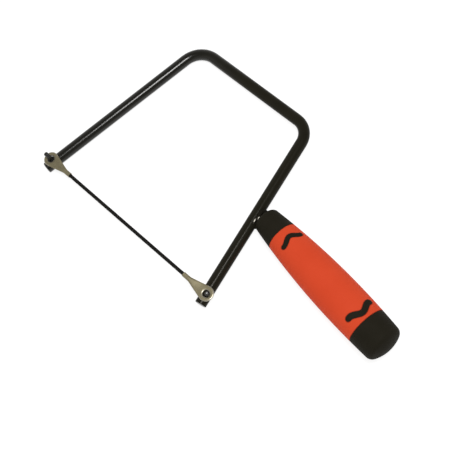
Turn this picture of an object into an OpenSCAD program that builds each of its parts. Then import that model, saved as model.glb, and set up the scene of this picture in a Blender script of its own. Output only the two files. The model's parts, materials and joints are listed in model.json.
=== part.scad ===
// Rod saw: a bent steel bar springs a grit-coated rod blade between two leaning pins.
// A moulded two-colour handle sits on a tang that is welded to the rear arm.
// The saw is drawn in its own plane: x along the blade from the toe to the handle, y from the
// blade to the back bar, z towards the side that the pins stand on. The bar's middle is at z = 0.
// lay_on_bench() then lays the whole saw on its side, on its front arm and its handle.

/* [Frame bar] */
// Diameter of the bent bar
bar_d = 7.94; // [7:0.02:9]
// Depth from the blade to the middle of the back bar
frame_depth = 127; // [110:1:170]
// Width of the back bar between the corners of the bar's middle line
back_w = 102.8; // [90:0.2:125]
// Bend radius of the front corner, to the bar's middle
front_bend_r = 16.4; // [10:0.2:24]
// Bend radius of the rear corner, to the bar's middle
rear_bend_r = 13.6; // [10:0.2:24]
// Thinning of the bar where it is bent, across its diameter
bend_draw = 0.04; // [0.03:0.01:0.2]
// Length of the front arm past its blade pin
toe_end_l = 6.6; // [6:0.1:14]
// Length of the rear arm past its blade pin
heel_end_l = 7.5; // [6:0.1:14]

/* [Blade] */
// Length of the blade between the middles of its eyes
blade_l = 152.4; // [140:0.1:180]
// Diameter of the blade's bare wire
wire_d = 1.6; // [1.2:0.05:1.8]
// Diameter of the blade over its grit
grit_d = 2.5; // [2.1:0.05:2.9]

/* [Blade tabs] */
// Thickness of the tab's sheet
tab_t = 0.8; // [0.6:0.05:1.2]
// Outer diameter of the eye
eye_d = 10.3; // [9:0.1:12]
// Diameter of the hole in the eye
eye_hole_d = 4.8; // [4.4:0.1:5.4]
// Length from the middle of the eye to the end of the barrel
tab_l = 20.3; // [18:0.1:26]
// Length of the barrel that is rolled round the wire
barrel_l = 4.4; // [3:0.1:7]
// Radius of the hollow by which each side of the tab runs into the barrel
neck_round = 8; // [6:0.5:12]
// Width of the open seam under the barrel
seam_w = 0.4; // [0.2:0.05:0.6]

/* [Blade pins] */
// Diameter of each pin
pin_d = 3; // [2.6:0.05:3.4]
// Angle by which each pin leans outwards
pin_lean = 20; // [10:1:24]
// Height of the pin's tip above the bar
pin_stand = 6.2; // [4:0.1:9]
// Depth of the pin's hole below the bar's middle, along the pin
pin_seat = 2.2; // [1.5:0.1:2.6]
// Chamfer on the pin's tip
pin_chamfer = 0.4; // [0.2:0.05:0.6]

/* [Handle] */
// Height above the blade at which the handle's axis crosses the rear arm
handle_y = 62.7; // [52:0.1:76]
// Angle by which the handle droops towards the blade
handle_droop = 7.4; // [0:0.1:12]
// Diameter of the handle at its nose
front_d = 17.3; // [16:0.1:20]
// Largest diameter of the handle
belly_d = 28.4; // [26:0.1:32]
// Diameter of the handle at its butt
butt_d = 25.4; // [23:0.1:25.6]
// Length from the nose to the largest diameter
belly_l = 76.5; // [70:0.1:90]
// Length of the dark collar
collar_l = 17.9; // [14:0.1:24]
// Length of the coloured sleeve
sleeve_l = 80; // [74:0.5:96]
// Length of the butt cap
cap_l = 20; // [16:0.1:26]
// Rounding of the nose
nose_round = 3.4; // [2:0.1:4]
// Rounding of the butt's edge
butt_round = 4.5; // [3:0.1:6]
// Radius of the butt's domed end
dome_r = 24; // [20:0.5:60]
// Thickness of the sleeve
sleeve_t = 2.4; // [1.8:0.1:3]
// Diameter of the core's plug in the cap
plug_d = 17; // [14:0.1:18]
// Length of the core's plug in the cap
plug_l = 9; // [6:0.1:10]

/* [Tang] */
// Diameter of the tang
tang_d = 6.35; // [5.5:0.05:7]
// Length of the tang from the middle of the rear arm
tang_l = 92; // [60:1:98]
// Radius of the weld bead round the tang
weld_r = 1.6; // [1.2:0.05:1.7]
// Height of the bead's middle above the middle of the rear arm
weld_rise = 3.2; // [2.8:0.05:3.4]

/* [Grip waves] */
// Turn of the waves about the handle, from straight up towards the back bar
wave_turn = 11; // [0:1:20]
// Length from the sleeve's front edge to the middle of the front wave
front_wave_at = 8.7; // [7:0.1:14]
// Width of the front wave's stroke
front_wave_w = 3.3; // [2:0.1:3.6]
// Rise of the front wave from trough to crest
front_wave_rise = 2.8; // [2:0.1:3.2]
// Pitch of the front wave
front_wave_pitch = 13.4; // [13:0.2:20]
// Length of the front wave across the handle
front_wave_span = 13.4; // [10:0.2:16]
// Length from the middle of the rear wave to the sleeve's rear edge
rear_wave_at = 6; // [5.4:0.1:14]
// Width of the rear wave's stroke
rear_wave_w = 4; // [2:0.1:4.4]
// Rise of the rear wave from trough to crest
rear_wave_rise = 3.2; // [2:0.1:3.4]
// Pitch of the rear wave
rear_wave_pitch = 15.6; // [15:0.2:20]
// Length of the rear wave across the handle
rear_wave_span = 16.2; // [12:0.2:19]
// Height of the waves above the sleeve
wave_proud = 0.3; // [0.1:0.05:0.6]

/* [Fits] */
// Room between a pin and its hole in the bar
pin_gap = 0.03; // [0.01:0.01:0.1]
// Room between a blade tab and the bar under it
tab_gap = 0.05; // [0.02:0.01:0.2]
// Room between a pin and the outer edge of the eye that it holds
hook_slack = 0.05; // [0.02:0.01:0.2]
// Room between the moulded pieces of the handle
mould_gap = 0.05; // [0.02:0.01:0.1]
// Room between the handle's nose and the rear arm
nose_gap = 0.15; // [0.05:0.05:1]

/* [Hidden] */
$fn = 96;
arc_fn = 720;
cut_over = 1;
bend_lap = 0.4;
hollow_over = 0.01;
bar_r = bar_d / 2;
pin_r = pin_d / 2;
tang_r = tang_d / 2;
barrel_d = wire_d + 2 * tab_t;

// The pin bears on the outer edge of its eye, at the top of the tab. Its middle crosses the bar's middle.
pin_half = pin_r / cos(pin_lean);
tab_z = bar_r + tab_gap;
pin_drift = (tab_z + tab_t) * tan(pin_lean);
arm_x = blade_l / 2 + eye_hole_d / 2 - hook_slack - pin_half - pin_drift;
pin_top = (bar_r + pin_stand) / cos(pin_lean);

// The arms flare from the back bar down to the blade.
flare = atan((arm_x - back_w / 2) / frame_depth);
bend_turn = 90 - flare;
toe = [-arm_x, 0, 0];
front_arm = [sin(flare), cos(flare), 0];
front_side = [cos(flare), -sin(flare), 0];

// The handle is measured along its axis, from the middle of the rear arm.
handle_skew = flare + handle_droop;
handle_root = [arm_x - handle_y * tan(flare), handle_y, 0];
handle_dir = [cos(handle_droop), -sin(handle_droop), 0];
nose_reach = bar_r + nose_gap + nose_round + (front_d / 2 - nose_round) * sin(handle_skew);
nose_u = nose_reach / cos(handle_skew) - nose_round;
sleeve_u = nose_u + collar_l;
cap_u = sleeve_u + sleeve_l;
end_u = cap_u + cap_l;
belly_u = nose_u + belly_l;
belly_r = belly_d / 2;

// The handle's side is two arcs that meet at the belly.
function two_places(v) = round(v * 100) / 100;
function arc_radius(reach, drop) = two_places((reach * reach + drop * drop) / (2 * drop));
front_arc = arc_radius(belly_l, belly_r - front_d / 2);
rear_arc = arc_radius(end_u - belly_u, belly_r - butt_d / 2);
nose_side = belly_r - front_arc + sqrt(pow(front_arc, 2) - pow(belly_l - nose_round, 2));
nose_ring = two_places(nose_side) - nose_round;
// The butt's edge is rounded by a circle that touches both the side's arc and the dome from inside.
side_mid = [belly_r - rear_arc, belly_u];
dome_mid = [0, end_u - dome_r];
side_reach = rear_arc - butt_round;
dome_reach = dome_r - butt_round;
mids = dome_mid - side_mid;
edge_along = (pow(side_reach, 2) - pow(dome_reach, 2) + mids * mids) / (2 * norm(mids));
edge_off = sqrt(pow(side_reach, 2) - pow(edge_along, 2));
edge_mid = side_mid + (edge_along * mids + edge_off * [-mids[1], mids[0]]) / norm(mids);

// The saw lies tilted about its front arm, so that the arm and the handle both touch the bench.
belly_out = (handle_root + belly_u * handle_dir - toe) * front_side;
function sink(tilt) = sqrt(1 - pow(sin(tilt) * (handle_dir * front_side), 2));
function belly_drop(tilt) = belly_r * sink(tilt) + front_arc * (1 - sink(tilt));
function settle(n) = n == 0 ? 0 : asin((belly_drop(settle(n - 1)) - bar_r) / belly_out);
bench_tilt = settle(5);

// Farthest reach of the saw along the bench, for an origin under the middle of its box
function turned(v) = v * cos(bench_tilt) + cross(front_arm, v) * sin(bench_tilt)
    + front_arm * (front_arm * v) * (1 - cos(bench_tilt));
function disc_reach(middle, normal, r, way) = middle * way + r * sqrt(1 - pow(normal * way, 2));
bench_x = turned([1, 0, 0]);
bench_y = turned([0, 1, 0]);
eye_middle = [-blade_l / 2, 0, tab_z + tab_t / 2];
dome_middle = handle_root + dome_mid[1] * handle_dir;
edge_middle = handle_root + edge_mid[1] * handle_dir;
dome_edge = asin(edge_mid[0] / dome_reach);
toe_end = toe - toe_end_l * front_arm;
rear_arm_dir = [-front_arm[0], front_arm[1], 0];
heel_end = -toe - heel_end_l * rear_arm_dir;
back_front = [-back_w / 2, frame_depth, 0];
back_rear = [back_w / 2, frame_depth, 0];
x_low = -disc_reach(eye_middle, [0, 0, 1], eye_d / 2, -bench_x) - tab_t / 2 * abs(bench_x[2]);
x_high = acos(handle_dir * bench_x) < dome_edge ? dome_middle * bench_x + dome_r
    : disc_reach(edge_middle, handle_dir, edge_mid[0], bench_x) + butt_round;
y_low = -max(disc_reach(toe_end, front_arm, bar_r, -bench_y),
             disc_reach(heel_end, rear_arm_dir, bar_r, -bench_y));
y_high = max(disc_reach(back_front, [1, 0, 0], bar_r, bench_y),
             disc_reach(back_rear, [1, 0, 0], bar_r, bench_y));
toe_on_bench = [toe * bench_x - (x_low + x_high) / 2, toe * bench_y - (y_low + y_high) / 2, bar_r];

module lay_on_bench() {
    translate(toe_on_bench) rotate(a = -bench_tilt, v = front_arm) translate(-toe) children();
}

// A round rod between two points of the saw's plane
module rod_between(p, q, d) {
    run = q - p;
    translate(p) rotate([0, 0, atan2(run[1], run[0])]) rotate([0, 90, 0]) cylinder(h = norm(run), d = d);
}

// One arm with its corner, on the toe's side. The bend runs a little way into the straight lengths.
module bar_half(bend_r, end_l) {
    run_in = bend_r * tan(bend_turn / 2);
    middle = back_front + [run_in, -bend_r, 0];
    extra = bend_lap / bend_r * 180 / PI;
    rod_between(toe - end_l * front_arm, back_front - run_in * front_arm, bar_d);
    translate(middle) rotate([0, 0, 90 - extra]) rotate_extrude(angle = bend_turn + 2 * extra)
        translate([bend_r, 0]) circle(d = bar_d - bend_draw);
}

// A cylinder along the front pin, from and to lengths counted from the bar's middle
module pin_bar(from, to, d) {
    translate(toe) rotate([0, -pin_lean, 0]) translate([0, 0, from]) cylinder(h = to - from, d = d);
}

module on_rear() {
    mirror([1, 0, 0]) children();
}

module frame_rod() {
    front_run = front_bend_r * tan(bend_turn / 2);
    rear_run = rear_bend_r * tan(bend_turn / 2);
    color("#1c1b18") lay_on_bench() difference() {
        union() {
            bar_half(front_bend_r, toe_end_l);
            rod_between(back_front + [front_run, 0, 0], back_rear - [rear_run, 0, 0], bar_d);
            on_rear() bar_half(rear_bend_r, heel_end_l);
        }
        pin_bar(-pin_seat, bar_d, pin_d + 2 * pin_gap);
        on_rear() pin_bar(-pin_seat, bar_d, pin_d + 2 * pin_gap);
    }
}

// A headless pin with a chamfered tip
module blade_pin() {
    pin_bar(-pin_seat, pin_top - pin_chamfer, pin_d);
    translate(toe) rotate([0, -pin_lean, 0]) translate([0, 0, pin_top - pin_chamfer])
        cylinder(h = pin_chamfer, d1 = pin_d, d2 = pin_d - 2 * pin_chamfer);
}

module front_blade_pin() {
    color("#26241f") lay_on_bench() blade_pin();
}

module rear_blade_pin() {
    color("#26241f") lay_on_bench() on_rear() blade_pin();
}

// A stamped tab: a flat eye that narrows into a barrel rolled round the wire, with its seam beneath.
// The eye's middle is at the origin, and the barrel points along x.
module blade_tab() {
    neck_x = tab_l - barrel_l;
    neck_half = barrel_d / 2;
    eye_r = eye_d / 2;
    hollow = [neck_x, neck_half + neck_round];
    side_turn = atan2(hollow[1], hollow[0]) + acos((eye_r + neck_round) / norm(hollow));
    side = eye_r * [cos(side_turn), sin(side_turn)];
    neck = hollow - neck_round * [cos(side_turn), sin(side_turn)];
    crown_l = neck_x - eye_r - tab_t;
    difference() {
        union() {
            linear_extrude(tab_t) {
                circle(r = eye_r);
                difference() {
                    polygon([side, neck, [neck_x, neck[1]], [neck_x, -neck[1]], [neck[0], -neck[1]],
                             [side[0], -side[1]]]);
                    for (flip = [-1, 1])
                        translate([hollow[0], flip * hollow[1]]) circle(r = neck_round + hollow_over);
                }
            }
            translate([neck_x, 0, tab_t / 2]) rotate([0, 90, 0]) cylinder(h = barrel_l, d = barrel_d);
            translate([neck_x - crown_l, 0, tab_t / 2]) rotate([0, 90, 0])
                cylinder(h = crown_l, d1 = tab_t, d2 = barrel_d);
        }
        translate([0, 0, -cut_over]) cylinder(h = tab_t + 2 * cut_over, d = eye_hole_d);
        translate([neck_x, 0, tab_t / 2]) rotate([0, 90, 0])
            cylinder(h = barrel_l + cut_over, d = wire_d);
        translate([neck_x, -seam_w / 2, -barrel_d])
            cube([barrel_l + cut_over, seam_w, barrel_d + tab_t / 2]);
    }
}

module front_blade_tab() {
    color("#8b8269") lay_on_bench() translate([-blade_l / 2, 0, tab_z]) blade_tab();
}

module rear_blade_tab() {
    color("#8b8269") lay_on_bench() on_rear() translate([-blade_l / 2, 0, tab_z]) blade_tab();
}

// Wire ends that fill the barrels, and the thicker grit-coated length between them
module blade_rod() {
    wire_l = blade_l - 2 * (tab_l - barrel_l);
    grit_l = blade_l - 2 * tab_l;
    color("#15140f") lay_on_bench() translate([0, 0, tab_z + tab_t / 2]) rotate([0, 90, 0]) {
        cylinder(h = wire_l, d = wire_d, center = true);
        cylinder(h = grit_l, d = grit_d, center = true);
    }
}

// Puts the z axis along the handle, from the middle of the rear arm
module along_handle() {
    translate(handle_root) rotate([0, 0, -handle_droop]) rotate([0, 90, 0]) children();
}

// The rear arm's straight length, for cutting what is fitted to it
module rear_arm() {
    rod_between(heel_end, back_rear, bar_d);
}

module tang_rod(d, from, to) {
    along_handle() translate([0, 0, from]) cylinder(h = to - from, d = d);
}

module handle_tang() {
    color("#2b2925") lay_on_bench() difference() {
        tang_rod(tang_d, 0, tang_l);
        rear_arm();
    }
}

// A round bead in the corner between the tang and the arm, square to the arm
module tang_weld() {
    color("#22201c") lay_on_bench() difference() {
        along_handle() translate([0, 0, weld_rise / cos(handle_skew)]) rotate([-handle_skew, 0, 0])
            rotate_extrude() translate([tang_r, 0]) circle(r = weld_r);
        rear_arm();
        tang_rod(tang_d, 0, tang_l);
    }
}

// The handle's side profile, with x as the radius and y along the axis, moved in by inset
module side_profile(inset, from, to) {
    intersection() {
        union() {
            intersection() {
                translate([belly_r - front_arc, belly_u]) circle(r = front_arc - inset, $fn = arc_fn);
                square([belly_d, belly_u]);
            }
            intersection() {
                translate([belly_r - rear_arc, belly_u]) circle(r = rear_arc - inset, $fn = arc_fn);
                translate([0, belly_u]) square([belly_d, end_u]);
            }
        }
        translate([0, from]) square([belly_d, to - from]);
    }
}

// The collar's profile, rounded at the nose
module collar_profile() {
    intersection() {
        side_profile(0, nose_u, sleeve_u);
        union() {
            translate([0, nose_u + nose_round]) square([belly_d, collar_l]);
            translate([0, nose_u]) square([nose_ring, collar_l]);
            translate([nose_ring, nose_u + nose_round]) circle(r = nose_round);
        }
    }
}

// The cap's profile, with a rounded edge and a domed end
module cap_profile() {
    side_way = (edge_mid - side_mid) / side_reach;
    intersection() {
        side_profile(0, cap_u, end_u);
        union() {
            polygon([[0, cap_u], [belly_d, cap_u], edge_mid + belly_d * side_way, edge_mid,
                     [0, edge_mid[1]]]);
            translate(edge_mid) circle(r = butt_round);
            intersection() {
                translate(dome_mid) circle(r = dome_r, $fn = arc_fn);
                polygon([dome_mid, edge_mid, 2 * edge_mid - dome_mid, [0, end_u + dome_r]]);
            }
        }
    }
}

function wave_mid(t, rise, pitch) = [t, rise / 2 * cos(360 * t / pitch)];
function wave_slope(t, rise, pitch) = -atan(rise * PI / pitch * sin(360 * t / pitch));
function away(a, r) = r * [cos(a), sin(a)];

// Outline of a wavy stroke with round ends, with a crest in its middle
module wave_outline(w, rise, pitch, span) {
    steps = 16;
    cap_steps = 5;
    half = span / 2;
    lead = wave_slope(half, rise, pitch);
    tail = wave_slope(-half, rise, pitch);
    cap_turn = 180 / (cap_steps + 1);
    polygon([
        for (i = [0 : steps]) let (t = -half + i * span / steps)
            wave_mid(t, rise, pitch) + away(wave_slope(t, rise, pitch) + 90, w / 2),
        for (i = [1 : cap_steps])
            wave_mid(half, rise, pitch) + away(lead + 90 - i * cap_turn, w / 2),
        for (i = [0 : steps]) let (t = half - i * span / steps)
            wave_mid(t, rise, pitch) + away(wave_slope(t, rise, pitch) - 90, w / 2),
        for (i = [1 : cap_steps])
            wave_mid(-half, rise, pitch) + away(tail - 90 - i * cap_turn, w / 2)
    ]);
}

// Both waves on both flat sides of the handle, as prisms out from the axis, moved in by inset
module wave_prisms(inset) {
    for (flip = [0, 180])
        rotate([0, 0, -90 - wave_turn - flip]) rotate([90, 0, 0]) linear_extrude(belly_d) {
            translate([0, sleeve_u + front_wave_at]) mirror([0, 1])
                wave_outline(front_wave_w - 2 * inset, front_wave_rise, front_wave_pitch, front_wave_span);
            translate([0, cap_u - rear_wave_at])
                wave_outline(rear_wave_w - 2 * inset, rear_wave_rise, rear_wave_pitch, rear_wave_span);
        }
}

module handle_core() {
    color("#24221c") lay_on_bench() along_handle() difference() {
        union() {
            rotate_extrude() {
                collar_profile();
                side_profile(sleeve_t + mould_gap, nose_u + nose_round, cap_u);
                translate([0, cap_u - cap_l]) square([plug_d / 2, cap_l + plug_l]);
            }
            intersection() {
                wave_prisms(mould_gap);
                rotate_extrude() side_profile(-wave_proud, sleeve_u, cap_u);
            }
        }
        translate([0, 0, nose_u - cut_over])
            cylinder(h = tang_l - nose_u + cut_over + mould_gap, r = tang_r + mould_gap);
    }
}

module grip_sleeve() {
    color("#d84c2c") lay_on_bench() along_handle() difference() {
        rotate_extrude() difference() {
            side_profile(0, sleeve_u, cap_u);
            side_profile(sleeve_t, sleeve_u - cut_over, cap_u + cut_over);
        }
        wave_prisms(0);
    }
}

module butt_cap() {
    color("#24221c") lay_on_bench() along_handle() difference() {
        rotate_extrude() cap_profile();
        translate([0, 0, cap_u - cut_over])
            cylinder(h = plug_l + mould_gap + cut_over, r = plug_d / 2 + mould_gap);
    }
}

frame_rod();
front_blade_pin();
rear_blade_pin();
front_blade_tab();
rear_blade_tab();
blade_rod();
handle_tang();
tang_weld();
handle_core();
grip_sleeve();
butt_cap();
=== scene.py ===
"""Looks of a rod saw: painted bar frame, grit-coated wire blade and two-colour moulded handle.

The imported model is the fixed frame. Pieces are built in the saw's own plane (x along the blade,
y from the blade to the back bar, z up) or along the handle's axis, and then laid where the frame is.
"""
import json
import math

import bmesh
import bpy
import numpy as np
from mathutils import Matrix, Vector


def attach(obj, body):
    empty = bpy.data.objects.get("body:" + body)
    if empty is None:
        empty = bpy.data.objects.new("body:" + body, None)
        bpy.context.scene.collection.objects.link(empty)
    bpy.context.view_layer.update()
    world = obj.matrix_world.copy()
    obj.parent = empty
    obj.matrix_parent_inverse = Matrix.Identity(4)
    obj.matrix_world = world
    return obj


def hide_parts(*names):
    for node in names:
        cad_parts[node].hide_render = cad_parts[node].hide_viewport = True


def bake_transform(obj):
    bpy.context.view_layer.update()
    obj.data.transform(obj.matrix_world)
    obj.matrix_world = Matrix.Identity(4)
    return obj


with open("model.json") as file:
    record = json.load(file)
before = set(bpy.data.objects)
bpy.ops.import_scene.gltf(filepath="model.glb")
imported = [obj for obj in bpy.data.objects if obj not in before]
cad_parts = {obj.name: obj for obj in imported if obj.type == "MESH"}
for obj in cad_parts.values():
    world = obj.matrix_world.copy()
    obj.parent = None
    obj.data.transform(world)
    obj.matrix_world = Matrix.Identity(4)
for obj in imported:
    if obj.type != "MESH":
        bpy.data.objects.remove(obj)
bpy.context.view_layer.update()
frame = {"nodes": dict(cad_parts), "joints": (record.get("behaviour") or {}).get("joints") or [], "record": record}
record = frame["record"]
nodes = frame["nodes"]
MM = 0.001

# Frame bar, as in the solids
BAR_R = 7.94 * MM / 2
FRAME_DEPTH = 127 * MM
BACK_W = 102.8 * MM
FRONT_BEND_R = 16.4 * MM
REAR_BEND_R = 13.6 * MM
TOE_END_L = 6.6 * MM
HEEL_END_L = 7.5 * MM

# Blade, tabs and pins, as in the solids
BLADE_L = 152.4 * MM
WIRE_R = 1.6 * MM / 2
GRIT_R = 2.5 * MM / 2
TAB_T = 0.8 * MM
TAB_GAP = 0.05 * MM
EYE_R = 10.3 * MM / 2
EYE_HOLE_R = 4.8 * MM / 2
TAB_L = 20.3 * MM
BARREL_L = 4.4 * MM
NECK_ROUND = 8 * MM
SEAM_W = 0.4 * MM
PIN_R = 3 * MM / 2
PIN_STAND = 6.2 * MM
PIN_SEAT = 2.2 * MM

# Handle and tang, as in the solids
FRONT_R = 17.3 * MM / 2
BELLY_R = 28.4 * MM / 2
BUTT_R = 25.4 * MM / 2
BELLY_L = 76.5 * MM
COLLAR_L = 17.9 * MM
SLEEVE_L = 80 * MM
CAP_L = 20 * MM
NOSE_ROUND = 3.4 * MM
BUTT_ROUND = 4.5 * MM
DOME_R = 24 * MM
TANG_R = 6.35 * MM / 2
WAVE_TURN = math.radians(11)
WAVE_PROUD = 0.3 * MM

# How far the bar and the handle's shells stay within the solids
SKIN = 0.015 * MM

# Worked out from these sizes
TAB_Z = BAR_R + TAB_GAP
BLADE_Z = TAB_Z + TAB_T / 2
NECK_X = TAB_L - BARREL_L
BARREL_R = WIRE_R + TAB_T

# Camera of the photograph, for a square frame: metres, degrees and millimetres of lens and sensor
CAMERA_AT = (0.23006, -0.08524, 0.63411)
CAMERA_TURN = (17.814, 11.306, 42.671)
CAMERA_LENS = 82.16
SENSOR = 36
NEAR_CLIP = 0.01


def mount(name):
    return next(m for m in record["mounts"] if m["name"] == name)


def joint(name):
    return next(j for j in frame["joints"] if j["name"] == name)


def place_matrix(x, y, z, origin):
    """Turns local axes and an origin into a matrix."""
    m = Matrix((x, y, z)).transposed().to_4x4()
    m.translation = origin
    return m


# The saw's plane, read from the frame's joints and mounts
saw_x = Vector(mount("back_bar")["axis"]).normalized()
saw_z = Vector(joint("front_arm_spring")["axis"]).normalized()
saw_y = saw_z.cross(saw_x)
spring_at = Vector(joint("front_arm_spring")["pos_m"])
SAW = place_matrix(saw_x, saw_y, saw_z, spring_at + saw_x * (BACK_W / 2) - saw_y * FRAME_DEPTH)
TO_SAW = SAW.inverted()

# Places and directions in that plane
ARM_X = (TO_SAW @ Vector(joint("blade_unhook")["pos_m"])).x
SLOPE = (ARM_X - BACK_W / 2) / FRAME_DEPTH
FLARE = math.atan(SLOPE)
arm_out = np.array([math.cos(FLARE), math.sin(FLARE)])
rear_arm = np.array([-math.sin(FLARE), math.cos(FLARE)])
front_arm = np.array([math.sin(FLARE), math.cos(FLARE)])
toe = np.array([-ARM_X, 0.0])
heel = np.array([ARM_X, 0.0])
heel_end = heel - HEEL_END_L * rear_arm
front_corner = np.array([-BACK_W / 2, FRAME_DEPTH])
rear_corner = np.array([BACK_W / 2, FRAME_DEPTH])

# The handle's axis, and the point where it meets the middle of the rear arm
handle_axis = Vector(mount("grip")["axis"]).normalized()
HANDLE = place_matrix(saw_z.cross(handle_axis), saw_z, handle_axis, Vector(mount("grip")["pos_m"]))
grip_at = TO_SAW @ Vector(mount("grip")["pos_m"])
grip_way = TO_SAW.to_3x3() @ handle_axis
root_back = (grip_at.x + grip_at.y * SLOPE - ARM_X) / (grip_way.x + grip_way.y * SLOPE)
handle_root = np.array((grip_at - root_back * grip_way)[:2])

# Places along the handle, counted from its widest ring
NOSE = -BELLY_L
SLEEVE = NOSE + COLLAR_L
CAP = SLEEVE + SLEEVE_L
END = CAP + CAP_L

# Wavy strokes, as in the solids: each is placed from a seam, one way along the handle
FRONT_WAVE = {"seam": SLEEVE, "way": 1, "at": 8.7 * MM, "w": 3.3 * MM,
              "rise": 2.8 * MM, "pitch": 13.4 * MM, "span": 13.4 * MM}
REAR_WAVE = {"seam": CAP, "way": -1, "at": 6 * MM, "w": 4 * MM,
             "rise": 3.2 * MM, "pitch": 15.6 * MM, "span": 16.2 * MM}


# Meshes


def build(name, verts, faces, matrix, material, sharp_deg=40):
    """A mesh object from local points, laid in the shared frame."""
    merge_distance, smallest_edge = 1e-7, 1e-8
    mesh = bpy.data.meshes.new(name)
    mesh.from_pydata([tuple(float(c) for c in v) for v in verts], [], faces)
    mesh.transform(matrix)
    bm = bmesh.new()
    bm.from_mesh(mesh)
    bmesh.ops.remove_doubles(bm, verts=bm.verts, dist=merge_distance)
    bmesh.ops.dissolve_degenerate(bm, edges=bm.edges, dist=smallest_edge)
    bmesh.ops.recalc_face_normals(bm, faces=bm.faces)
    bm.to_mesh(mesh)
    bm.free()
    mesh.shade_smooth()
    mesh.set_sharp_from_angle(angle=math.radians(sharp_deg))
    mesh.materials.append(material)
    obj = bpy.data.objects.new(name, mesh)
    bpy.context.scene.collection.objects.link(obj)
    return obj


def mark(obj, name, values):
    """Stores a value for each point of a piece, for its material to read."""
    layer = obj.data.attributes.new(name, "FLOAT", "POINT")
    layer.data.foreach_set("value", values.astype(np.float32))


def round_angles(count):
    """Equal steps of a full turn."""
    return [2 * math.pi * i / count for i in range(count)]


def ring_faces(rings, count, ends=False):
    """Quads between rings of count points each, and the two end faces where they are asked for."""
    faces = []
    for k in range(rings - 1):
        for i in range(count):
            a = k * count + i
            b = k * count + (i + 1) % count
            faces.append((a, b, b + count, a + count))
    if ends:
        faces.append(tuple(range(count)))
        faces.append(tuple(range((rings - 1) * count, rings * count)))
    return faces


def turned(profile, around):
    """Points of a turned shape, from pairs of radius and place along its axis."""
    angles = round_angles(around)
    return [(r * math.sin(a), r * math.cos(a), w) for r, w in profile for a in angles]


def arc(ring, along, radius, start, end, steps):
    """Points of a profile's arc after its first one; its angles are counted from the axis."""
    angles = [start + (end - start) * i / steps for i in range(1, steps + 1)]
    return [(ring + radius * math.sin(a), along + radius * math.cos(a)) for a in angles]


# Materials

WARM_SHEEN = (1.0, 0.95, 0.82, 1)


class Nodes:
    """A material with a Principled shader and short calls for its pattern nodes."""

    # Colour sockets of Blender's Mix node
    MIX_A, MIX_B, MIX_OUT = 6, 7, 2

    def __init__(self, name):
        self.material = bpy.data.materials.new(name)
        self.material.use_nodes = True
        self.tree = self.material.node_tree
        self.shader = self.tree.nodes["Principled BSDF"]
        self.place = self.add("ShaderNodeTexCoord").outputs["Object"]

    def add(self, kind, **settings):
        node = self.tree.nodes.new(kind)
        for key, value in settings.items():
            setattr(node, key, value)
        return node

    def link(self, a, b):
        self.tree.links.new(a, b)

    def set(self, **values):
        """Sets the shader's own sockets, which are named with underscores for spaces."""
        for key, value in values.items():
            self.shader.inputs[key.replace("_", " ")].default_value = value

    def noise(self, scale, detail=3.0, roughness=0.5, stretch=None):
        node = self.add("ShaderNodeTexNoise")
        node.inputs["Scale"].default_value = scale
        node.inputs["Detail"].default_value = detail
        node.inputs["Roughness"].default_value = roughness
        source = self.place
        if stretch:
            mapping = self.add("ShaderNodeMapping")
            mapping.inputs["Scale"].default_value = stretch
            self.link(self.place, mapping.inputs["Vector"])
            source = mapping.outputs["Vector"]
        self.link(source, node.inputs["Vector"])
        return node.outputs["Fac"]

    def span(self, value, low, high, to_low, to_high):
        """Maps a value from one range to another."""
        node = self.add("ShaderNodeMapRange")
        node.inputs["From Min"].default_value = low
        node.inputs["From Max"].default_value = high
        node.inputs["To Min"].default_value = to_low
        node.inputs["To Max"].default_value = to_high
        self.link(value, node.inputs["Value"])
        return node.outputs["Result"]

    def colours(self, value, *stops):
        """A colour ramp from pairs of place and colour."""
        node = self.add("ShaderNodeValToRGB")
        ramp = node.color_ramp
        while len(ramp.elements) < len(stops):
            ramp.elements.new(0.5)
        for element, (at, colour) in zip(ramp.elements, stops):
            element.position = at
            element.color = (*colour, 1)
        self.link(value, node.inputs["Fac"])
        return node.outputs["Color"]

    def mix(self, fac, a, b):
        """Mixes two colours, each a socket or a plain colour."""
        node = self.add("ShaderNodeMix", data_type="RGBA")
        self.link(fac, node.inputs["Factor"])
        for value, socket in ((a, node.inputs[self.MIX_A]), (b, node.inputs[self.MIX_B])):
            if isinstance(value, tuple):
                socket.default_value = (*value, 1)
            else:
                self.link(value, socket)
        return node.outputs[self.MIX_OUT]

    def sum(self, a, b):
        node = self.add("ShaderNodeMath", operation="ADD")
        self.link(a, node.inputs[0])
        self.link(b, node.inputs[1])
        return node.outputs[0]

    def base(self, socket):
        self.link(socket, self.shader.inputs["Base Color"])

    def rough(self, socket):
        self.link(socket, self.shader.inputs["Roughness"])

    def bump(self, height, distance, strength):
        """Roughens the surface by a height, and returns the roughened normal."""
        node = self.add("ShaderNodeBump")
        node.inputs["Distance"].default_value = distance
        node.inputs["Strength"].default_value = strength
        self.link(height, node.inputs["Height"])
        self.link(node.outputs["Normal"], self.shader.inputs["Normal"])
        return node.outputs["Normal"]


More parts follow.
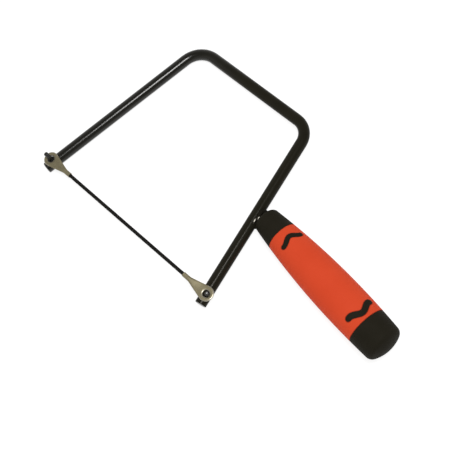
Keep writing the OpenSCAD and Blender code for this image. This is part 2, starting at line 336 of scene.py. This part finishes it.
def black_paint():
    """Black paint with orange peel and a faint brown cast, under a clear coat.

    The coat is whole on the front arm and rubbed away along the back bar, towards the hand.
    """
    whole_x, gone_x, whole_coat = -0.10, -0.055, 0.6
    n = Nodes("black_paint")
    parts = n.add("ShaderNodeSeparateXYZ")
    n.link(n.place, parts.inputs[0])
    wear = n.span(parts.outputs["X"], whole_x, gone_x, 0.0, 1.0)
    patches = n.noise(90, 4)
    glossy = n.colours(patches, (0.3, (0.0066, 0.0062, 0.0040)), (0.75, (0.0092, 0.0088, 0.0060)))
    rubbed = n.colours(patches, (0.3, (0.0140, 0.0126, 0.0083)), (0.75, (0.0176, 0.0159, 0.0107)))
    n.base(n.mix(wear, glossy, rubbed))
    n.rough(n.span(n.noise(90, 3), 0.3, 0.7, 0.20, 0.23))
    n.set(Specular_IOR_Level=0.07, Specular_Tint=(1.0, 0.97, 0.90, 1))
    orange_peel = n.bump(n.noise(420, 2), 0.008 * MM, 0.1)
    n.link(n.span(wear, 0.0, 1.0, whole_coat, 0.0), n.shader.inputs["Coat Weight"])
    n.link(orange_peel, n.shader.inputs["Coat Normal"])
    n.set(Coat_Roughness=0.215, Coat_IOR=1.5)
    return n.material


def dark_steel():
    """Blackened steel, rubbed a little brighter in places."""
    n = Nodes("dark_steel")
    n.base(n.colours(n.noise(700, 4), (0.45, (0.005, 0.0045, 0.0036)), (0.85, (0.022, 0.020, 0.016))))
    n.rough(n.span(n.noise(1200, 3), 0.3, 0.7, 0.24, 0.34))
    n.set(Specular_IOR_Level=0.4)
    n.bump(n.noise(2500, 3), 0.02 * MM, 0.4)
    return n.material


def tab_steel():
    """Stamped sheet with a dull olive-grey plating, fine rolling lines and rims burnished by the die."""
    n = Nodes("tab_steel")
    patches = n.noise(260, 5, 0.6)
    plating = n.colours(patches, (0.3, (0.234, 0.206, 0.128)), (0.7, (0.302, 0.268, 0.170)))
    rim = n.add("ShaderNodeAttribute", attribute_name="rim").outputs["Fac"]
    n.base(n.mix(n.span(rim, 0.3, 0.9, 0.0, 0.5), plating, (0.56, 0.54, 0.49)))
    n.rough(n.sum(n.span(n.noise(500, 4), 0.3, 0.7, 0.52, 0.62), n.span(rim, 0.2, 0.8, 0.0, -0.28)))
    n.set(Metallic=0.8)
    n.bump(n.noise(1500, 3, 0.6, (0.08, 1, 1)), 0.012 * MM, 0.5)
    return n.material


def grit():
    """Dull dark carbide grains, paler in random patches."""
    n = Nodes("grit")
    grains = n.noise(3200, 2)
    n.base(n.colours(grains, (0.4, (0.0015, 0.0013, 0.0010)), (0.85, (0.036, 0.033, 0.028))))
    n.rough(n.span(grains, 0.35, 0.7, 0.80, 0.55))
    n.set(Specular_IOR_Level=0.12)
    return n.material


def soft_black():
    """Matt rubber with a warm cast and a fine moulded texture."""
    n = Nodes("soft_black")
    patches = n.noise(60, 5, 0.6)
    n.base(n.colours(patches, (0.3, (0.0146, 0.0129, 0.0086)), (0.75, (0.0188, 0.0168, 0.0115))))
    n.rough(n.span(n.noise(220, 4), 0.3, 0.7, 0.60, 0.72))
    n.set(Specular_IOR_Level=0.045, Specular_Tint=WARM_SHEEN)
    n.bump(n.noise(2600, 2), 0.02 * MM, 0.5)
    return n.material


def orange_plastic():
    """Satin orange moulding with faint flow marks, darkened by painted shade where it meets the black."""
    n = Nodes("orange_plastic")
    flow = n.noise(45, 4, 0.55)
    body = n.colours(flow, (0.3, (0.648, 0.065, 0.0230)), (0.7, (0.690, 0.073, 0.0270)))
    # The sleeve's edge value says where shade is painted into the colour, by the seams and the strokes.
    edge = n.add("ShaderNodeAttribute", attribute_name="edge").outputs["Fac"]
    n.base(n.mix(edge, body, (0.11, 0.009, 0.004)))
    n.rough(n.span(n.noise(300, 4), 0.3, 0.7, 0.46, 0.58))
    n.set(Specular_IOR_Level=0.03)
    n.bump(n.noise(2000, 2), 0.015 * MM, 0.5)
    return n.material


def weld_metal():
    """Weld bead under a thin wash of black, with bright worn tops."""
    n = Nodes("weld_metal")
    n.base(n.colours(n.noise(800, 4), (0.4, (0.006, 0.005, 0.0035)), (0.8, (0.03, 0.027, 0.020))))
    n.rough(n.span(n.noise(900, 3), 0.3, 0.7, 0.20, 0.30))
    n.set(Specular_IOR_Level=0.75, Specular_Tint=WARM_SHEEN)
    n.bump(n.noise(1800, 2), 0.01 * MM, 0.3)
    return n.material


def weld_scale():
    """Dull dark scale left on the weld ring under thin paint."""
    n = Nodes("weld_scale")
    patches = n.noise(500, 5, 0.6)
    n.base(n.colours(patches, (0.35, (0.0060, 0.0052, 0.0034)), (0.75, (0.0125, 0.0108, 0.0074))))
    n.rough(n.span(n.noise(700, 4), 0.3, 0.7, 0.55, 0.7))
    n.set(Specular_IOR_Level=0.08, Specular_Tint=WARM_SHEEN)
    n.bump(n.noise(900, 4, 0.6), 0.12 * MM, 0.6)
    return n.material


PAINT = black_paint()
WELD = weld_metal()
SCALE = weld_scale()
DARK = dark_steel()
TAB = tab_steel()
GRIT = grit()
RUBBER = soft_black()
ORANGE = orange_plastic()

# The tang and the weld ring show as their own solids.
for name, material in (("handle_tang", PAINT), ("tang_weld", SCALE)):
    nodes[name].data.materials.clear()
    nodes[name].data.materials.append(material)


# Frame bar


def bar_path():
    """Stations on the bar's middle line, from toe to heel: point, direction and whether it bends."""
    step = 2.5 * MM
    arc_steps = 20
    turn = math.pi / 2 - FLARE
    stations = []

    def straight(p, q):
        length = np.linalg.norm(q - p)
        count = max(2, int(length / step))
        for i in range(count):
            stations.append((p + (q - p) * i / count, (q - p) / length, False))

    def bend(middle, radius, start):
        for i in range(arc_steps):
            a = start - turn * i / arc_steps
            out = np.array([math.cos(a), math.sin(a)])
            stations.append((middle + radius * out, np.array([out[1], -out[0]]), i > 0))

    front_run = FRONT_BEND_R * math.tan(turn / 2)
    rear_run = REAR_BEND_R * math.tan(turn / 2)
    straight(toe - TOE_END_L * front_arm, front_corner - front_run * front_arm)
    bend(front_corner + np.array([front_run, -FRONT_BEND_R]), FRONT_BEND_R, math.pi / 2 + turn)
    straight(front_corner + np.array([front_run, 0]), rear_corner - np.array([rear_run, 0]))
    bend(rear_corner - np.array([rear_run, REAR_BEND_R]), REAR_BEND_R, math.pi / 2)
    straight(rear_corner - rear_run * rear_arm, heel_end)
    stations.append((heel_end, -rear_arm, False))
    return stations


def bar_rings():
    """Rings along the bar: middle, direction, radius, and half width as a share of the radius."""
    broken_edge = 0.35 * MM
    flatten = 0.012
    radius = BAR_R - SKIN
    stations = bar_path()
    first, first_way, _ = stations[0]
    last, last_way, _ = stations[-1]
    rings = [(first, first_way, radius - broken_edge, 1)]
    rings.append((first + first_way * broken_edge, first_way, radius, 1))
    rings += [(p, way, radius, 1 - flatten if bent else 1) for p, way, bent in stations[1:-1]]
    rings.append((last - last_way * broken_edge, last_way, radius, 1))
    rings.append((last, last_way, radius - broken_edge, 1))
    return rings


def frame_bar():
    """The bent bar, with broken edges at its sawn ends and a trace of flattening in the bends."""
    sides = 48
    rings = bar_rings()
    verts = []
    for middle, way, radius, width in rings:
        across = np.array([-way[1], way[0]])
        for a in round_angles(sides):
            p = middle + across * radius * width * math.cos(a)
            verts.append((p[0], p[1], radius * math.sin(a)))
    faces = ring_faces(len(rings), sides, ends=True)
    obj = build("frame_bar", verts, faces, SAW, PAINT, sharp_deg=30)
    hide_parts("frame_rod")
    # A slanted way parting the front arm from the back bar and rear arm; nothing here bends the bar along it.
    slant = heel_end - front_corner
    slant = np.array([slant[1], -slant[0]]) / np.linalg.norm(slant)
    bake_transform(obj)


# Blade


def grain_radii(rows, around):
    """Radius of the grit at each point: coarse grains with a finer speckle, within the solid."""
    valley, grain, speck = 0.17 * MM, 0.30 * MM, 0.05 * MM
    contrast, cut = 1.5, 0.25
    rng = np.random.default_rng(7)
    coarse = rng.random((rows, around))
    smooth = coarse + np.roll(coarse, 1, 0) + np.roll(coarse, 1, 1) + np.roll(coarse, (1, 1), (0, 1))
    fine = rng.random((rows, around))
    height = np.clip(contrast * smooth / 4 - cut, 0, 1)
    return np.minimum(GRIT_R - valley + grain * height - speck * fine, GRIT_R)


def blade():
    """Wire with carbide grains brazed on it, and bare ends in the barrels."""
    around = 26
    step = 0.13 * MM
    grit_half = BLADE_L / 2 - TAB_L
    wire_end = BLADE_L / 2 - NECK_X
    rows = int(2 * grit_half / step)
    bare = np.full(around, WIRE_R)
    rings = [(-wire_end, bare), (-grit_half, bare)]
    for i, radii in enumerate(grain_radii(rows, around)):
        rings.append((-grit_half + 2 * grit_half * (i + 0.5) / rows, radii))
    rings += [(grit_half, bare), (wire_end, bare)]
    verts = []
    for x, radii in rings:
        for r, a in zip(radii, round_angles(around)):
            verts.append((x, r * math.cos(a), r * math.sin(a)))
    lay = SAW @ Matrix.Translation((0, 0, BLADE_Z))
    faces = ring_faces(len(rings), around, ends=True)
    obj = build("grit_wire", verts, faces, lay, GRIT, sharp_deg=60)
    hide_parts("blade_rod")
    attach(obj, "blade")


# Blade tabs

# Where the flat tab begins to rise, the straight share of its climb, and how square the barrel's arch is
CROWN_X = EYE_R + TAB_T
STRAIGHT_CLIMB = 0.7
CROWN_POWER = 2.8
# Up to here along the tab, its edge is the eye's own circle
EYE_SIDE_X = CROWN_X * 0.4
# Width and drop of the rims that the die rolls over, and of their broken edges
ROLL_W = 1.15 * MM
ROLL_DROP = 0.27 * MM
EDGE_W = 0.14 * MM
EDGE_DROP = 0.1 * MM
# Distances from an edge at which a rim has points, and the points of a line across from rim to rim
RIM_STEPS = np.array([0, 0.05, 0.12, 0.25, 0.4, 0.55, 0.7, 0.9, 1.15]) * MM
INNER_POINTS = 14
# Steps across half of the barrel's end
END_STEPS = 8
# Least half width, so that the arch never divides by zero
LEAST_W = 1e-6


def smooth_step(v):
    v = min(max(v, 0), 1)
    return v * v * (3 - 2 * v)


def tab_outline():
    """Outline of the tab from the back of the eye to the middle of the barrel's end, on the +y side."""
    eye_points, side_points, neck_points, barrel_points = 34, 12, 10, 6
    hollow = np.array([NECK_X, BARREL_R + NECK_ROUND])
    turn = math.atan2(hollow[1], hollow[0]) + math.acos((EYE_R + NECK_ROUND) / np.linalg.norm(hollow))
    way = np.array([math.cos(turn), math.sin(turn)])
    shoulder, neck = EYE_R * way, hollow - NECK_ROUND * way

    def on_circle(middle, radius, start, end, count):
        angles = np.linspace(start, end, count)
        return [middle + radius * np.array([math.cos(a), math.sin(a)]) for a in angles]

    points = on_circle(np.zeros(2), EYE_R, math.pi, turn, eye_points)
    points += [shoulder + (neck - shoulder) * f for f in np.linspace(0, 1, side_points)[1:]]
    points += on_circle(hollow, NECK_ROUND, turn + math.pi, 1.5 * math.pi, neck_points)[1:]
    points += [np.array([x, BARREL_R]) for x in np.linspace(NECK_X, TAB_L, barrel_points)[1:]]
    points += [np.array([TAB_L, y]) for y in np.linspace(BARREL_R, 0, END_STEPS + 1)[1:]]
    return points


def edge_distance(q, outline):
    """Distance of a point of the tab from its outline."""
    if q[0] < EYE_SIDE_X:
        return max(EYE_R - np.linalg.norm(q), 0)
    return np.linalg.norm(outline - q, axis=1).min()


def tab_levels(q, hole_d, edge_d, side):
    """Heights of the tab's upper and lower face at a point with these distances from hole and edge."""
    climb = (q[0] - CROWN_X) / (NECK_X - CROWN_X)
    rise = STRAIGHT_CLIMB * min(max(climb, 0), 1) + (1 - STRAIGHT_CLIMB) * smooth_step(climb)
    drop = 0.0
    for d in (hole_d, edge_d):
        drop += ROLL_DROP * max(0, 1 - d / ROLL_W) ** 2 + EDGE_DROP * max(0, 1 - d / EDGE_W) ** 2
    width = max(np.interp(q[0], side[:, 0], side[:, 1]), LEAST_W)
    arch = (1 - min(1, abs(q[1]) / width) ** CROWN_POWER) ** (1 / CROWN_POWER)
    flat = TAB_T / 2 * (1 - rise)
    top = TAB_T / 2 + flat - drop * (1 - rise) + rise * BARREL_R * arch
    low = TAB_T / 2 - flat - rise * BARREL_R * arch
    if q[0] > NECK_X and abs(q[1]) < SEAM_W / 2:
        low += SEAM_W
    return top, low


def tab_points():
    """Points of a tab's upper and lower face, in rows from the hole outwards, and the count of rows."""
    half = tab_outline()
    side = np.array(half[:-END_STEPS])
    outline = np.array(half + [np.array([p[0], -p[1]]) for p in half[-2:0:-1]])
    top, low = [], []
    for p in outline:
        reach = np.linalg.norm(p)
        length = reach - EYE_HOLE_R
        inner = np.linspace(RIM_STEPS[-1], length - RIM_STEPS[-1], INNER_POINTS)[1:-1]
        for s in np.concatenate([RIM_STEPS, inner, length - RIM_STEPS[::-1]]):
            q = p / reach * (EYE_HOLE_R + s)
            z_top, z_low = tab_levels(q, s, edge_distance(q, outline), side)
            top.append((*q, z_top))
            low.append((*q, z_low))
    return top, low, len(outline)


def tab_faces(rows, columns):
    """Faces of a tab: its upper and lower side, the hole's wall and the outer edge."""
    low = rows * columns
    faces = []
    for k in range(rows):
        here, there = k * columns, (k + 1) % rows * columns
        for j in range(columns - 1):
            a, b = here + j, there + j
            faces.append((a, b, b + 1, a + 1))
            faces.append((low + a, low + a + 1, low + b + 1, low + b))
        for j in (0, columns - 1):
            a, b = here + j, there + j
            faces.append((a, low + a, low + b, b))
    return faces


def rim_nearness(obj, to_tab):
    """Value for each point of a tab that is high by the hole and round the back of the eye."""
    x, y = np.array([(to_tab @ v.co)[:2] for v in obj.data.vertices]).T
    reach = np.hypot(x, y)
    gap = reach - EYE_HOLE_R
    gap = np.where(x < EYE_SIDE_X, np.minimum(gap, EYE_R - reach), gap)
    return np.clip(1 - gap / ROLL_W, 0, 1)


def blade_tab(name, node, flip):
    """A stamped tab: die-rolled rims, a crown that rises into the rolled barrel, and its seam beneath."""
    top, low, rows = tab_points()
    side = Matrix.Scale(-1, 4, (1, 0, 0)) if flip else Matrix.Identity(4)
    lay = SAW @ side @ Matrix.Translation((-BLADE_L / 2, 0, TAB_Z))
    faces = tab_faces(rows, len(top) // rows)
    obj = build(name, top + low, faces, lay, TAB, sharp_deg=50)
    mark(obj, "rim", rim_nearness(obj, lay.inverted()))
    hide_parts(node)
    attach(obj, "blade")


# Blade pins


def blade_pin(name, node, body, hook):
    """A headless pin with a rounded, domed tip."""
    around, arc_steps = 48, 8
    tip_round, dome_r = 0.5 * MM, 6 * MM
    axis = Vector(mount(hook)["axis"]).normalized()
    lean = axis.dot(saw_z)
    root = Vector(mount(hook)["pos_m"]) - axis * (BLADE_Z / lean)
    top = (BAR_R + PIN_STAND) / lean
    dome_edge = math.asin((PIN_R - tip_round) / (dome_r - tip_round))
    shoulder = top - dome_r + (dome_r - tip_round) * math.cos(dome_edge)
    profile = [(0, -PIN_SEAT), (PIN_R, -PIN_SEAT), (PIN_R, shoulder)]
    profile += arc(PIN_R - tip_round, shoulder, tip_round, math.pi / 2, dome_edge, arc_steps)
    profile += arc(0, top - dome_r, dome_r, dome_edge, 0, arc_steps)
    side = saw_y.cross(axis).normalized()
    lay = place_matrix(side, axis.cross(side), axis, root)
    faces = ring_faces(len(profile), around)
    obj = build(name, turned(profile, around), faces, lay, DARK)
    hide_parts(node)
    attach(obj, body)


def pin_shade_puddle(name, body, hook):
    """A low dark puddle round a pin's foot under the blade's tab, put in as painted shade."""
    around, rows = 56, 12
    reach, sink, rim_z = 3.1 * MM, 0.12 * MM, 1.5 * MM
    wobble, lobes, brow_power = 0.05, (2, 3, 4), 6
    at = TO_SAW @ Vector(mount(hook)["pos_m"])
    axis = TO_SAW.to_3x3() @ Vector(mount(hook)["axis"]).normalized()
    middle = at - axis * ((at.z - BAR_R) / axis.z)
    rng = np.random.default_rng(11)
    phases = rng.random(len(lobes)) * 2 * math.pi
    verts = []
    for k in range(rows + 1):
        share = k / rows
        fall = share ** brow_power
        z = (BAR_R - sink) * (1 - fall) + rim_z * fall
        for a in round_angles(around):
            r = reach * share * (1 + wobble * sum(math.sin(n * a + p) for n, p in zip(lobes, phases)))
            verts.append((middle.x + r * math.cos(a), middle.y + r * math.sin(a), z))
    faces = ring_faces(rows + 1, around)
    faces.append(tuple(range(rows * around, (rows + 1) * around)))
    obj = build(name, verts, faces, SAW, PAINT, sharp_deg=60)
    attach(obj, body)


# Handle


def arc_radius(reach, drop):
    """Radius of the arc that falls by drop over reach."""
    return (reach * reach + drop * drop) / (2 * drop)


FRONT_ARC = arc_radius(BELLY_L, BELLY_R - FRONT_R)
REAR_ARC = arc_radius(END, BELLY_R - BUTT_R)

# Fine step at a seam: its width, depth and inner lip, and where the plain side begins
SEAM = 0.12 * MM
SEAM_DEEP = 1.3 * SEAM
SEAM_LIP = 0.2 * SEAM
SEAM_END = 2 * SEAM
# How far the dark pieces and the sleeve dip there, and how far their end faces reach inwards
DARK_DIP = 0.4 * SEAM
SLEEVE_DIP = 0.3 * SEAM
DARK_FACE = 1 * MM
SLEEVE_FACE = 2 * MM
# Steps of a round edge in a profile
ROUND_STEPS = 12


def side_r(w):
    """Radius of the handle's side at a place along it, counted from its widest ring."""
    curve = FRONT_ARC if w < 0 else REAR_ARC
    return BELLY_R - SKIN - curve + math.sqrt(curve * curve - w * w)


def side_line(start, end, count):
    """Profile points along the handle's side."""
    return [(side_r(w), w) for w in np.linspace(start, end, count)]


def seam_step(w, way, dip, inside):
    """Profile points of the step at a seam, from within the handle outwards; way points into the piece."""
    rim = side_r(w)
    return [(rim - inside, w), (rim - SEAM_DEEP, w + way * SEAM_LIP), (rim - dip, w + way * SEAM)]


def lathe(name, profile, material, node, around=144):
    """A turned piece from pairs of radius and place along the handle."""
    faces = ring_faces(len(profile), around)
    obj = build(name, turned(profile, around), faces, HANDLE, material)
    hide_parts(node)
    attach(obj, "saw_frame")
    return obj


def collar():
    """The dark collar, round at the nose, with a recess for the tang and a fine step at the sleeve."""
    recess, lead, face_share, side_points = 0.6 * MM, 0.2 * MM, 0.8, 24
    ring = side_r(NOSE + NOSE_ROUND) - NOSE_ROUND
    profile = [(0, NOSE + recess), (TANG_R, NOSE + recess), (TANG_R + lead, NOSE)]
    profile += [(ring * face_share, NOSE), (ring, NOSE)]
    profile += arc(ring, NOSE + NOSE_ROUND, NOSE_ROUND, math.pi, math.pi / 2, ROUND_STEPS)
    profile += side_line(NOSE + NOSE_ROUND, SLEEVE - SEAM_END, side_points)[1:]
    profile += seam_step(SLEEVE, -1, DARK_DIP, DARK_FACE)[::-1]
    profile.append((0, SLEEVE))
    lathe("core_collar", profile, RUBBER, "handle_core")


def cap():
    """The dark butt cap, with a fine step at the sleeve, a rounded edge and a domed end."""
    side_mid = np.array([BELLY_R - SKIN - REAR_ARC, 0.0])
    dome_mid = np.array([0.0, END - SKIN - DOME_R])
    side_reach, dome_reach = REAR_ARC - BUTT_ROUND, DOME_R - BUTT_ROUND
    mids = dome_mid - side_mid
    apart = np.linalg.norm(mids)
    along = (side_reach ** 2 - dome_reach ** 2 + apart ** 2) / (2 * apart)
    off = math.sqrt(side_reach ** 2 - along ** 2)
    ring, edge = side_mid + (along * mids + off * np.array([-mids[1], mids[0]])) / apart
    side_end = REAR_ARC * edge / side_reach
    round_start, dome_start = math.acos(edge / side_reach), math.asin(ring / dome_reach)
    side_points = 18
    profile = [(0, CAP)]
    profile += seam_step(CAP, 1, DARK_DIP, DARK_FACE)
    profile += side_line(CAP + SEAM_END, side_end, side_points)
    profile += arc(ring, edge, BUTT_ROUND, round_start, dome_start, ROUND_STEPS)
    profile += arc(0, dome_mid[1], DOME_R, dome_start, 0, ROUND_STEPS)
    lathe("cap_shell", profile, RUBBER, "butt_cap")


def wave_mid(t, wave):
    """Middle of a wavy stroke: across the handle and along it."""
    swing = wave["rise"] / 2 * math.cos(2 * math.pi * t / wave["pitch"])
    return np.array([t, wave["seam"] + wave["way"] * (wave["at"] - swing)])


def wave_loop(wave, share):
    """Closed outline of a stroke, its half width cut to a share of the full one."""
    steps, round_steps, nudge = 40, 10, 1e-6
    quarter = math.pi / 2
    half, r = wave["span"] / 2, wave["w"] / 2 * share
    ts = np.linspace(-half, half, steps + 1)
    mids = [wave_mid(t, wave) for t in ts]
    ways = [wave_mid(t + nudge, wave) - wave_mid(t - nudge, wave) for t in ts]
    turns = [math.atan2(way[1], way[0]) for way in ways]

    def beside(middle, angle):
        return middle + r * np.array([math.cos(angle), math.sin(angle)])

    def round_end(middle, start):
        return [beside(middle, start - math.pi * i / round_steps) for i in range(1, round_steps)]

    loop = [beside(m, a + quarter) for m, a in zip(mids, turns)]
    loop += round_end(mids[-1], turns[-1] + quarter)
    loop += [beside(m, a - quarter) for m, a in zip(mids[::-1], turns[::-1])]
    loop += round_end(mids[0], turns[0] - quarter)
    return loop


def on_side(t, w, lift, back):
    """A point on the handle's side, from its places across and along, in the handle's own axes."""
    r = side_r(w) + lift
    out = math.sqrt(max(r * r - t * t, 0))
    turn = WAVE_TURN + (math.pi if back else 0)
    return (out * math.sin(turn) - t * math.cos(turn), out * math.cos(turn) + t * math.sin(turn), w)


def wave_rib(name, wave, back):
    """A soft stroke that stands a little above the sleeve, with rounded shoulders."""
    root, inmost = -0.5 * MM, 0.02
    # Share of the half width, and lift above the sleeve
    levels = [(inmost, root), (1.0, root), (1.0, -0.02 * MM), (0.97, 0.10 * MM), (0.9, 0.2 * MM),
              (0.75, 0.27 * MM), (0.5, WAVE_PROUD), (inmost, WAVE_PROUD)]
    verts = []
    for share, lift in levels:
        verts += [on_side(t, w, lift, back) for t, w in wave_loop(wave, share)]
    faces = ring_faces(len(levels), len(verts) // len(levels), ends=True)
    obj = build(name, verts, faces, HANDLE, RUBBER, sharp_deg=50)
    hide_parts("handle_core")
    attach(obj, "saw_frame")


def seam_shade(obj):
    """Value for each point of the sleeve, high by the seams and strokes where shade is painted."""
    width, power, most = 0.55 * MM, 1.3, 0.8
    line_points = 90
    to_handle = HANDLE.inverted()
    x, y, along = np.array([(to_handle @ v.co)[:] for v in obj.data.vertices]).T
    side = np.sign(x * math.sin(WAVE_TURN) + y * math.cos(WAVE_TURN))
    across = side * (y * math.sin(WAVE_TURN) - x * math.cos(WAVE_TURN))
    gap = np.minimum(along - SLEEVE, CAP - along)
    for wave in (FRONT_WAVE, REAR_WAVE):
        half = wave["span"] / 2
        line = np.array([wave_mid(t, wave) for t in np.linspace(-half, half, line_points)])
        d = np.hypot(across[:, None] - line[:, 0], along[:, None] - line[:, 1]).min(axis=1)
        gap = np.minimum(gap, np.abs(d - wave["w"] / 2))
    return np.clip(1 - gap / width, 0, 1) ** power * most


def sleeve():
    """The orange sleeve, with a fine step at each end. Painted shade darkens it by the seams and strokes."""
    around, side_points = 280, 250
    profile = seam_step(SLEEVE, 1, SLEEVE_DIP, SLEEVE_FACE)
    profile += side_line(SLEEVE + SEAM_END, CAP - SEAM_END, side_points)
    profile += seam_step(CAP, -1, SLEEVE_DIP, SLEEVE_FACE)[::-1]
    profile.append(profile[0])
    obj = lathe("sleeve_shell", profile, ORANGE, "grip_sleeve", around)
    # Painted shade by the seams and the strokes, read by the sleeve's material.
    mark(obj, "edge", seam_shade(obj))


# Weld


def weld_drop(name, place, sizes, normal, material):
    """A drop of weld beside the tang, with all its lengths in millimetres.

    Its place is along the rear arm, out from it and up.
    Its sizes are half length, half width, rise and depth.
    """
    around, rows = 32, 16
    along, out, height = (v * MM for v in place)
    half_l, half_w, rise, depth = (v * MM for v in sizes)
    to_out, to_along = Vector((*arm_out, 0)), Vector((*rear_arm, 0))
    up = (to_out * normal[0] + to_along * normal[1] + Vector((0, 0, normal[2]))).normalized()
    run = (to_along - up * to_along.dot(up)).normalized()
    wide = run.cross(up)
    middle = Vector((*(handle_root + rear_arm * along + arm_out * out), height))
    verts = []
    for k in range(rows + 1):
        t = math.pi * k / rows
        tall = rise if 2 * k < rows else depth
        for a in round_angles(around):
            flat = run * (half_l * math.cos(a)) + wide * (half_w * math.sin(a))
            verts.append(middle + flat * math.sin(t) + up * (tall * math.cos(t)))
    faces = ring_faces(rows + 1, around)
    obj = build(name, verts, faces, SAW, material, sharp_deg=70)
    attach(obj, "saw_frame")


def weld_beads():
    """Two worn drops on each side of the tang, and a fill in each notch between the arm and the collar."""
    worn = {"weld_low": ((-7.3, 2.3, 3.3), (2.2, 1.1, 0.4, 1.4)),
            "weld_high": ((-4.3, 3.75, 3.3), (2.1, 1.0, 0.4, 1.6))}
    fills = {"weld_fill_low": ((-10.0, 4.3, 0), (1.3, 0.9, 1.2, 1.2)),
             "weld_fill_high": ((1.95, 4.6, 0), (1.3, 1.1, 1.6, 1.6))}
    lean_out, lean_along, lean_up = 0.304, -0.104, 0.947
    for side_name, z in (("near", 1), ("far", -1)):
        for bead, ((along, out, height), sizes) in worn.items():
            place, normal = (along, out, height * z), (lean_out, lean_along, lean_up * z)
            weld_drop(bead + "_" + side_name, place, sizes, normal, WELD)
    for bead, (place, sizes) in fills.items():
        weld_drop(bead, place, sizes, (0, 0, 1), SCALE)


frame_bar()
blade()
blade_tab("front_tab", "front_blade_tab", False)
blade_tab("rear_tab", "rear_blade_tab", True)
blade_pin("front_pin", "front_blade_pin", "front_end", "front_hook")
blade_pin("rear_pin", "rear_blade_pin", "saw_frame", "rear_hook")
# Dark puddles under the tabs, put in as painted shade seen through the holes.
pin_shade_puddle("front_shade_puddle", "front_end", "front_hook")
pin_shade_puddle("rear_shade_puddle", "saw_frame", "rear_hook")
collar()
sleeve()
cap()
for back, side_name in ((False, "near"), (True, "far")):
    wave_rib("front_wave_" + side_name, FRONT_WAVE, back)
    wave_rib("rear_wave_" + side_name, REAR_WAVE, back)
weld_beads()


# Camera, light and floor

# Colour of the sky, and its strength behind the camera and all round
SKY_COLOUR = (1, 0.985, 0.95, 1)
DARK_SKY = 0.22
BRIGHT_SKY = 0.75
# Cosines of the angles from the middle of the dark part at which the sky turns bright
DARK_WITHIN = 0.75
BRIGHT_BEYOND = 0.25
# Shift of the sky's dark part from the camera, to the picture's right and up
SKY_SHIFT = 0.2
# Key light in the saw's own axes: place and size in metres, power in watts
KEY_AT = (0.30, 0.114, 0.9)
KEY_SIZE = 0.25
KEY_POWER = 5.5
# Floor: half its side in metres, its paleness, and its glow to the camera with the share that shows
FLOOR_HALF = 3
FLOOR_PALE = (0.9, 0.9, 0.9, 1)
FLOOR_GLOW = 1.22
GLOW_SHARE = 0.7


def photo_camera():
    """The photograph's camera."""
    data = bpy.data.cameras.new("camera")
    data.sensor_width = SENSOR
    data.lens = CAMERA_LENS
    data.clip_start = NEAR_CLIP
    obj = bpy.data.objects.new("camera", data)
    obj.location = CAMERA_AT
    obj.rotation_euler = [math.radians(a) for a in CAMERA_TURN]
    bpy.context.scene.collection.objects.link(obj)
    return obj


def studio(camera):
    """A soft room of light, bright all round the saw and darker behind the photograph's camera."""
    world = bpy.data.worlds.new("studio")
    world.use_nodes = True
    tree = world.node_tree
    sky = tree.nodes["Background"]
    sky.inputs["Color"].default_value = SKY_COLOUR
    aside = camera.rotation_euler.to_matrix() @ Vector((SKY_SHIFT, SKY_SHIFT, 0))
    toward = tree.nodes.new("ShaderNodeVectorMath")
    toward.operation = "DOT_PRODUCT"
    toward.inputs[1].default_value = (Vector(CAMERA_AT).normalized() + aside).normalized()
    level = tree.nodes.new("ShaderNodeMapRange")
    level.inputs["From Min"].default_value = BRIGHT_BEYOND
    level.inputs["From Max"].default_value = DARK_WITHIN
    level.inputs["To Min"].default_value = BRIGHT_SKY
    level.inputs["To Max"].default_value = DARK_SKY
    tree.links.new(tree.nodes.new("ShaderNodeTexCoord").outputs["Generated"], toward.inputs[0])
    tree.links.new(toward.outputs["Value"], level.inputs["Value"])
    tree.links.new(level.outputs["Result"], sky.inputs["Strength"])
    bpy.context.scene.world = world


def key_light():
    """A square soft light that looks at the saw's middle."""
    data = bpy.data.lights.new("key", "AREA")
    data.shape = "SQUARE"
    data.size = KEY_SIZE
    data.energy = KEY_POWER
    obj = bpy.data.objects.new("key", data)
    obj.location = SAW @ Vector(KEY_AT)
    obj.rotation_euler = (-obj.location).to_track_quat("-Z", "Y").to_euler()
    bpy.context.scene.collection.objects.link(obj)


def floor_material():
    """White to the camera and in reflections, and still shaded by the saw."""
    material = bpy.data.materials.new("floor")
    material.use_nodes = True
    tree = material.node_tree
    tree.nodes.clear()
    out = tree.nodes.new("ShaderNodeOutputMaterial")
    blend = tree.nodes.new("ShaderNodeMixShader")
    diffuse = tree.nodes.new("ShaderNodeBsdfDiffuse")
    diffuse.inputs["Color"].default_value = FLOOR_PALE
    glow = tree.nodes.new("ShaderNodeEmission")
    glow.inputs["Strength"].default_value = FLOOR_GLOW
    path = tree.nodes.new("ShaderNodeLightPath")
    seen = path.outputs["Is Camera Ray"]
    for ray in ("Is Glossy Ray", "Is Transmission Ray"):
        both = tree.nodes.new("ShaderNodeMath")
        both.operation = "MAXIMUM"
        tree.links.new(seen, both.inputs[0])
        tree.links.new(path.outputs[ray], both.inputs[1])
        seen = both.outputs[0]
    level = tree.nodes.new("ShaderNodeMath")
    level.operation = "MULTIPLY"
    level.inputs[1].default_value = GLOW_SHARE
    tree.links.new(seen, level.inputs[0])
    tree.links.new(level.outputs[0], blend.inputs["Fac"])
    tree.links.new(diffuse.outputs[0], blend.inputs[1])
    tree.links.new(glow.outputs[0], blend.inputs[2])
    tree.links.new(blend.outputs[0], out.inputs["Surface"])
    return material


def pale_floor():
    """A plain square floor that the saw lies on."""
    corners = [(FLOOR_HALF * x, FLOOR_HALF * y, 0) for x, y in ((-1, -1), (1, -1), (1, 1), (-1, 1))]
    mesh = bpy.data.meshes.new("floor")
    mesh.from_pydata(corners, [], [(0, 1, 2, 3)])
    mesh.materials.append(floor_material())
    floor = bpy.data.objects.new("floor", mesh)
    bpy.context.scene.collection.objects.link(floor)


camera = photo_camera()
bpy.context.scene.camera = camera
bpy.context.scene.view_settings.view_transform = "Standard"
studio(camera)
key_light()
pale_floor()
